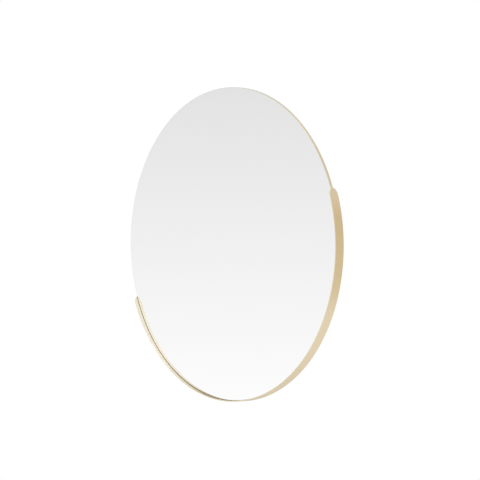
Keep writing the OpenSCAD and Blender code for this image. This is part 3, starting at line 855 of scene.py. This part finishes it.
# %% List of hardware
HARDWARE_FINISH = {
    "plated_steel": ZINC_PLATE,
    "cast_zinc": CAST_ZINC,
    "black_steel": POWDER_COAT,
    "satin_brass": BRASS,
    "black_rubber": RUBBER,
    "white_nylon": NYLON,
    "brown_fibre": FIBRE,
    "white_foam": FOAM,
}
HARDWARE = (
    ("rim_rivets", "rivet_heads", "mirror", "plated_steel", 0.12),
    ("wall_bumpers", "bumper_domes", "mirror", "black_rubber", 0.25),
    ("pivot_block_left", "left_pillow_block", "mirror", "cast_zinc", 0.3),
    ("pivot_block_right", "right_pillow_block", "mirror", "cast_zinc", 0.3),
    ("pivot_bushes", "flanged_bushes", "mirror", "white_nylon", 0.12),
    ("block_nuts", "block_lock_nuts", "mirror", "plated_steel", 0.12),
    ("friction_washers", "tilt_washers", "mirror", "brown_fibre", 0.1),
    ("glass_tape_ring", "tape_ring", "mirror", "white_foam", 0.15),
    ("foam_pads", "foam_strips", "mirror", "white_foam", 0.3),
    ("end_bracket_left", "left_bracket", "yoke", "cast_zinc", 0.3),
    ("end_bracket_right", "right_bracket", "yoke", "cast_zinc", 0.3),
    ("pivot_pin_left", "left_pin", "yoke", "plated_steel", 0.2),
    ("pivot_pin_right", "right_pin", "yoke", "plated_steel", 0.2),
    ("pivot_spring_washers", "tilt_springs", "yoke", "plated_steel", 0.08),
    ("pivot_nuts", "tilt_lock_nuts", "yoke", "plated_steel", 0.09),
    ("cross_bar", "bar_and_hub", "yoke", "black_steel", 0.5),
    ("bracket_screws", "countersunk_screws", "yoke", "plated_steel", 0.12),
    ("hub_bolt", "hub_screw", "yoke", "plated_steel", 0.2),
    ("hub_spring_washer", "hub_spring", "yoke", "plated_steel", 0.12),
    ("hub_nut", "hub_lock_nut", "yoke", "plated_steel", 0.2),
    ("stop_pin", "turn_stop", "yoke", "plated_steel", 0.2),
    ("friction_disc", "turn_friction_disc", "wall_mount", "brown_fibre", 0.15),
    ("thrust_washer", "turn_thrust_washer", "wall_mount", "white_nylon", 0.15),
    ("standoff_sleeve", "sleeve", "wall_mount", "satin_brass", 0.3),
    ("grub_screws", "sleeve_grub_screws", "wall_mount", "plated_steel", 0.1),
    ("wall_plate", "plate_on_wall", "wall_mount", "plated_steel", 0.3),
    ("wall_rosette", "rosette", "wall_mount", "satin_brass", 0.2),
    ("rosette_grip_ring", "grip_ring", "wall_mount", "black_rubber", 0.2),
)
print(len(HARDWARE), "nodes keep their CAD shape")

# %% [markdown]
# ## Easing the hardware
# The CAD's edges are sharper than any real part's. A copy of each mesh is merged, its flat triangles
# are dissolved into clean faces, and its edges are bevelled just enough to catch a line of light. A
# Bevel modifier could do it too, but the operator hands back the faces that it made, and these get
# the mark for the wear.

# %% Eased hardware
WELD = 1e-3
FLAT_WITHIN = math.radians(0.5)
HARDWARE_CREASE = 40
HARDWARE_EASE_STEPS = 2
IN_METRES = Matrix.Scale(MM, 4)
IN_MILLIMETRES = Matrix.Scale(1 / MM, 4)


def eased_copy(node, name, body, slot, width):
    """A copy of a CAD node with its sharp edges eased; it stands for the node."""
    bm = bmesh.new()
    bm.from_mesh(nodes[node].data)
    bmesh.ops.transform(bm, matrix=IN_MILLIMETRES, verts=bm.verts)
    bmesh.ops.remove_doubles(bm, verts=bm.verts, dist=WELD)
    bmesh.ops.dissolve_limit(
        bm, angle_limit=FLAT_WITHIN, verts=bm.verts, edges=bm.edges, use_dissolve_boundaries=False
    )
    for face in bm.faces:
        face.material_index = 0
    ease_edges(bm, width, HARDWARE_EASE_STEPS, HARDWARE_CREASE)
    bmesh.ops.dissolve_degenerate(bm, dist=WELD, edges=bm.edges)
    piece = make_piece(bm, name, IN_METRES, body, [HARDWARE_FINISH[slot]], HARDWARE_CREASE)
    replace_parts(piece, node)
    return piece


for row in HARDWARE:
    eased_copy(*row)

# %% [markdown]
# ## The white studio
# The photograph has a pure white background and no shadow. A white world does both: it is what the
# camera sees, and it lights the object evenly from everywhere.

# %% White world


def set_world():
    """A white world, the same in every direction."""
    world = bpy.data.worlds.new("white_studio")
    bpy.context.scene.world = world
    world.use_nodes = True
    world.node_tree.nodes.clear()
    light = add_node(world.node_tree, "ShaderNodeBackground", {"Color": (1, 1, 1, 1), "Strength": 1.0})
    add_node(world.node_tree, "ShaderNodeOutputWorld", {"Surface": light.outputs[0]})
    return world


print("world:", set_world().name)

# %% [markdown]
# ## The light on the cove
# Metal and mirror show what stands round them, and the mirror has a soft grey fall-off that gets
# lighter towards the bottom. So a round cove stands about the object, and its light follows the
# height. In front it is neutral and dims upwards over the height that the mirror shows, then turns
# bright above for the strip's inner face. A deep warm patch on its left darkens the line under the
# disc, and stops short of the cove's far left end. Behind, the cove is warmer, as a papered wall
# would be, and deeper to the left, and the strip's outer face reflects it. Each stop in a row is a
# height in metres and a colour.

# %% Rows of stops
FLOOR_Z = -1.5
COVE_STRENGTH = 1.65
COVE_FRONT_LOW = (
    (-1.5, (0.82, 0.82, 0.82)), (-0.9, (0.94, 0.94, 0.94)), (-0.5, (1.05, 1.05, 1.05)),
)
COVE_FRONT_MIDDLE = COVE_FRONT_LOW + ((0.5, (0.778, 0.778, 0.778)),)
COVE_FRONT = COVE_FRONT_MIDDLE + (
    (0.75, (0.82, 0.83, 0.84)), (1.1, (1.14, 1.22, 1.29)), (1.4, (1.19, 1.29, 1.385)),
    (2.2, (1.26, 1.376, 1.6)), (3.0, (1.03, 1.19, 1.53)),
)
COVE_FRONT_LEFT = COVE_FRONT_LOW + (
    (0.42, (0.8, 0.8, 0.8)), (0.46, (0.42, 0.41, 0.36)), (0.7, (0.36, 0.34, 0.24)),
    (0.9, (0.5, 0.47, 0.36)), (1.05, (0.92, 0.88, 0.76)), (1.2, (1.0, 0.96, 0.88)),
    (2.2, (1.08, 1.18, 1.28)), (3.0, (1.05, 1.2, 1.5)),
)
COVE_FRONT_END = COVE_FRONT_MIDDLE + (
    (0.9, (0.75, 0.752, 0.755)), (1.4, (0.86, 0.865, 0.87)), (3.0, (1.0, 1.03, 1.08)),
)
COVE_BACK = (
    (-1.5, (0.89, 0.85, 0.77)), (-0.9, (0.82, 0.755, 0.615)), (0.0, (0.785, 0.73, 0.57)),
    (0.5, (0.76, 0.67, 0.51)), (0.8, (0.78, 0.69, 0.54)), (1.2, (0.905, 0.875, 0.82)),
    (1.75, (0.79, 0.775, 0.75)), (3.0, (0.74, 0.72, 0.73)),
)
COVE_BACK_LEFT = (
    (-1.5, (0.74, 0.71, 0.63)), (-0.6, (0.66, 0.62, 0.52)), (0.0, (0.52, 0.47, 0.33)),
    (0.6, (0.6, 0.58, 0.5)), (1.3, (0.76, 0.78, 0.79)), (3.0, (0.72, 0.79, 0.9)),
)
COVE_ROWS = (COVE_FRONT, COVE_FRONT_LEFT, COVE_FRONT_END, COVE_BACK, COVE_BACK_LEFT)
print("stops in the cove's rows:", [len(row) for row in COVE_ROWS])

# %% [markdown]
# A colour ramp turns the height into the colour of one row. The five ramps are blended by place: to
# the left, at the far left end, and behind. Lamps of different colours could light a plain cove, but
# they would light the object too.

# %% Cove light
LEFT_STARTS, LEFT_FULL = -0.2, -1.6
END_STARTS, END_FULL = -1.85, -1.95
BACK_STARTS, BACK_FULL = -0.5, 0.5


def cove_ramp(tree, height, lights):
    """A colour that follows the height through the given stops."""
    low, high = lights[0][0], lights[-1][0]
    ramp = add_node(tree, "ShaderNodeValToRGB", {"Fac": share_of(tree, height, low, high)})
    stops = ramp.color_ramp.elements
    stops[1].position = 1.0
    for z, _ in lights[1:-1]:
        stops.new((z - low) / (high - low))
    for stop, (_, light) in zip(stops, lights):
        stop.color = (*[c / COVE_STRENGTH for c in light], 1)
    return ramp.outputs["Color"]


def cove_light():
    """An emission that follows the height, with five rows of stops blended round the cove."""
    material, tree = open_material("cove_light")
    place = split(tree, object_place(tree))
    right, left, end, back, back_left = [cove_ramp(tree, place["Z"], row) for row in COVE_ROWS]
    to_left = fade(tree, place["X"], LEFT_STARTS, LEFT_FULL)
    front = blend(tree, to_left, right, left)
    front = blend(tree, fade(tree, place["X"], END_STARTS, END_FULL), front, end)
    behind = blend(tree, to_left, back, back_left)
    light = blend(tree, fade(tree, place["Y"], BACK_STARTS, BACK_FULL), front, behind)
    glow = add_node(tree, "ShaderNodeEmission", {"Color": light, "Strength": COVE_STRENGTH})
    add_node(tree, "ShaderNodeOutputMaterial", {"Surface": glow.outputs[0]})
    return material


# %% [markdown]
# ## The cove
# The cove itself is an open cylinder. Only reflections see it: it is hidden from the camera, casts
# no shadow and adds no diffuse light, so the background stays white.

# %% Cove
COVE_R = 2.5
COVE_TOP = 3.0
COVE_STEPS = 96


def add_cove():
    """An open cylinder round the object that only reflections see."""
    bm = bmesh.new()
    bmesh.ops.create_cone(
        bm, cap_ends=False, segments=COVE_STEPS, radius1=COVE_R, radius2=COVE_R,
        depth=COVE_TOP - FLOOR_Z, matrix=Matrix.Translation((0, 0, (COVE_TOP + FLOOR_Z) / 2)),
    )
    cove = put_in_scene("studio_cove", mesh_from(bm, "studio_cove"))
    cove.data.materials.append(cove_light())
    cove.visible_camera = False
    cove.visible_diffuse = False
    cove.visible_shadow = False
    return cove


print("cove:", add_cove().name, "of radius", COVE_R, "m")

# %% [markdown]
# ## The floor
# A pale painted floor lies well below the mirror. Painted shade makes it a little darker to the left, as if
# the light fell from the right, because the strip's outer face reflects that side near its lowest point. It
# thins out to nothing at its rim, so that no horizon cuts the white background, and it has no gloss, so
# that the cove doesn't show in it.

# %% Floor
FLOOR_R = 5.0
# Painted shade: the floor's colour runs from a darker left to a lighter right, standing in for light that
# falls from the right.
FLOOR_SHADED_LEFT, FLOOR_LIT_RIGHT = (0.742, 0.722, 0.65, 1), (0.91, 0.892, 0.857, 1)
SHADE_STARTS, SHADE_FULL = -1.2, 0.8
SHADE_SHARE, MOTTLE_SHARE = 0.9, 0.1
MOTTLE_SCALE, MOTTLE_DETAIL = 3.0, 4.0
FLOOR_ROUGHNESS = 0.7
CLEAR_SHARE, SOLID_SHARE = 0.96, 0.3


def floor_paint_and_shade():
    """Pale floor paint with painted shade, darker to the left, that thins out to nothing at the rim."""
    material, tree = open_material("pale_floor")
    place = object_place(tree)
    mottle = noise(tree, place, MOTTLE_SCALE, MOTTLE_DETAIL)
    # Painted shade, darker to the left, mixed with a random mottle of tone.
    shaded_side = fade(tree, split(tree, place)["X"], SHADE_STARTS, SHADE_FULL)
    shade_and_mottle = maths(
        tree, "ADD", maths(tree, "MULTIPLY", shaded_side, SHADE_SHARE), maths(tree, "MULTIPLY", mottle, MOTTLE_SHARE)
    )
    shader = add_node(
        tree,
        "ShaderNodeBsdfPrincipled",
        {
            "Base Color": blend(tree, shade_and_mottle, FLOOR_SHADED_LEFT, FLOOR_LIT_RIGHT),
            "Roughness": FLOOR_ROUGHNESS,
            "Specular IOR Level": 0.0,
            "Alpha": fade(tree, length(tree, place), FLOOR_R * CLEAR_SHARE, FLOOR_R * SOLID_SHARE),
        },
    )
    add_node(tree, "ShaderNodeOutputMaterial", {"Surface": shader.outputs[0]})
    return material


def add_floor():
    """A round pale floor well below the mirror."""
    bm = bmesh.new()
    bmesh.ops.create_circle(
        bm, cap_ends=True, segments=COVE_STEPS, radius=FLOOR_R, matrix=Matrix.Translation((0, 0, FLOOR_Z))
    )
    floor = put_in_scene("studio_floor", mesh_from(bm, "studio_floor"))
    floor.data.materials.append(floor_paint_and_shade())
    return floor


print("floor:", add_floor().name, "at", FLOOR_Z, "m")

# %% [markdown]
# ## The lamp
# One large square softbox hangs above and a little in front. It gives the parts a soft top light,
# and the colours are shown as they are, with no film look.

# %% Lamp and colour
LAMP_PLACE = (0.3, -0.5, 2.2)
LAMP_SIZE = 1.6
LAMP_POWER = 16


def add_softbox():
    """A square area light that faces the mirror."""
    lamp = bpy.data.lights.new("overhead_softbox", "AREA")
    lamp.shape = "SQUARE"
    lamp.size = LAMP_SIZE
    lamp.energy = LAMP_POWER
    box = put_in_scene("overhead_softbox", lamp)
    box.location = LAMP_PLACE
    box.rotation_euler = Vector(LAMP_PLACE).to_track_quat("Z", "Y").to_euler()
    return box


print("lamp:", add_softbox().name, LAMP_POWER, "W")
bpy.context.scene.view_settings.view_transform = "Standard"
bpy.context.scene.view_settings.look = "None"
